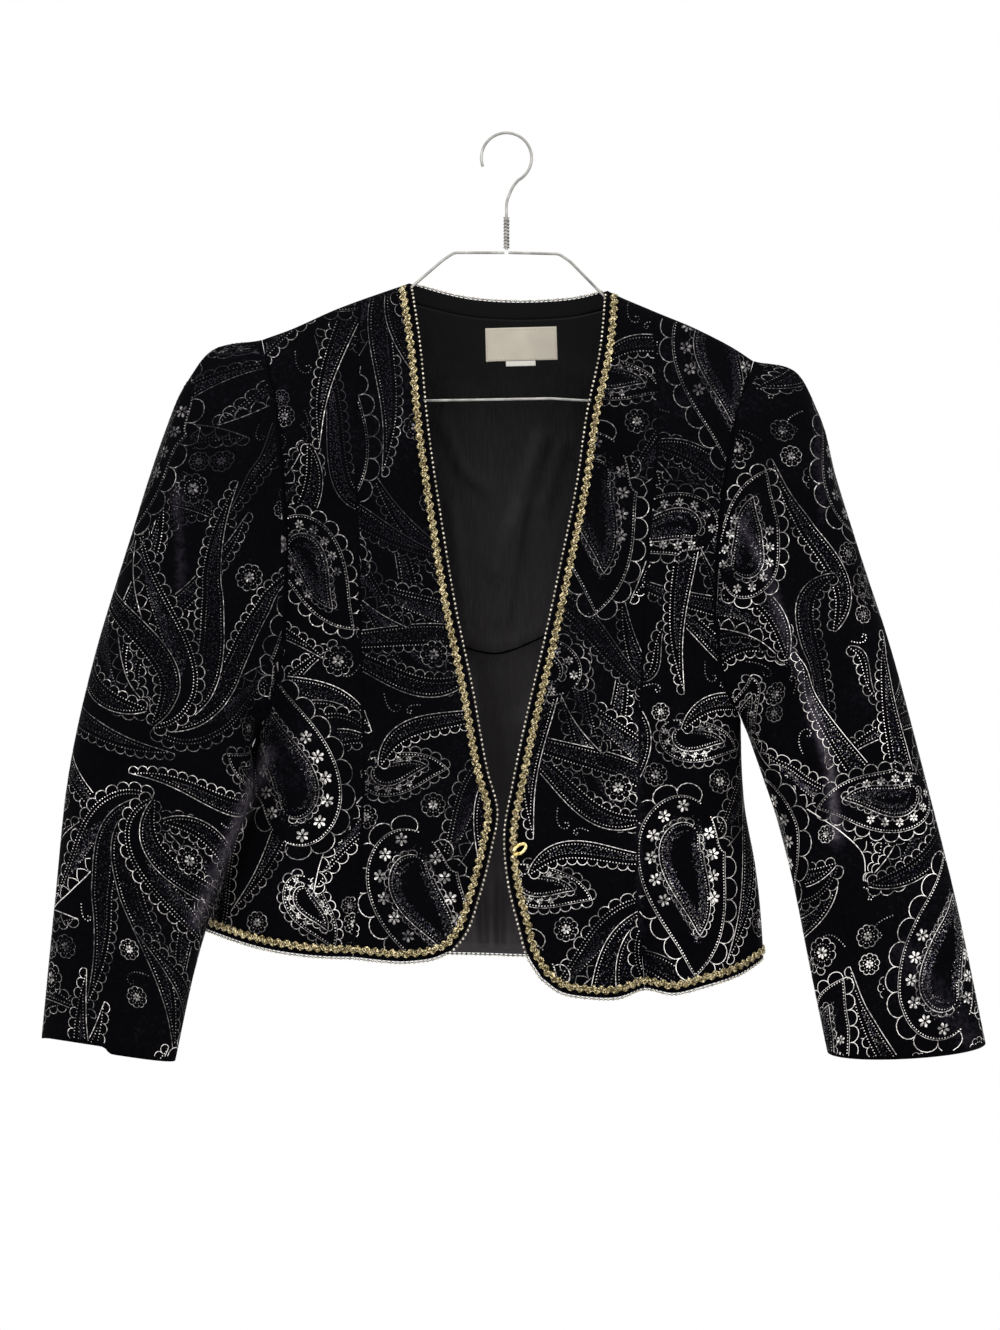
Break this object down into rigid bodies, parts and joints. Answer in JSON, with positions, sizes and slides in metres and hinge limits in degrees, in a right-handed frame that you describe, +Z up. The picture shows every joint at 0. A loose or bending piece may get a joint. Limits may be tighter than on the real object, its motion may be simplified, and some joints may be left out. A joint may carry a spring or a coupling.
{
  "type": "velvet jacket on a wire hanger",
  "caption": "Cropped long-sleeved velvet jacket with an open V front, rounded hem corners, braid and beaded edging, satin back lining and blank label, hung on a plain wire hanger.",
  "frame": {"origin": "inside top of the hanger's hook, where a rail carries it", "axes": "+X to the wearer's left, +Y to the back of the jacket, +Z up; the front faces -Y"},
  "size_m": [0.7558, 0.1105, 0.7437],
  "materials": {
    "velvet": "black velvet with a silver foil paisley print",
    "satin": "black satin",
    "label": "woven cream tape",
    "gilt": "gilt braid and beads",
    "steel": "plain drawn wire"
  },
  "bodies": {
    "root": {"back_panel": "velvet", "front_left_centre": "velvet", "front_left_side": "velvet", "front_right_centre": "velvet", "front_right_side": "velvet", "sleeve_left_upper": "velvet", "sleeve_left_under": "velvet", "sleeve_right_upper": "velvet", "sleeve_right_under": "velvet", "back_lining": "satin", "neck_label": "label", "size_tab": "label", "braid_front_left": "gilt", "braid_front_right": "gilt", "braid_back_hem": "gilt", "braid_back_neck": "gilt", "piping_front_left": "gilt", "piping_front_right": "gilt", "piping_back_hem": "gilt", "piping_back_neck": "gilt", "clasp_hook": "gilt", "hanger_hook": "steel", "hanger_arm_left": "steel", "hanger_arm_right": "steel", "hanger_bar": "steel"}
  },
  "joints": []
}
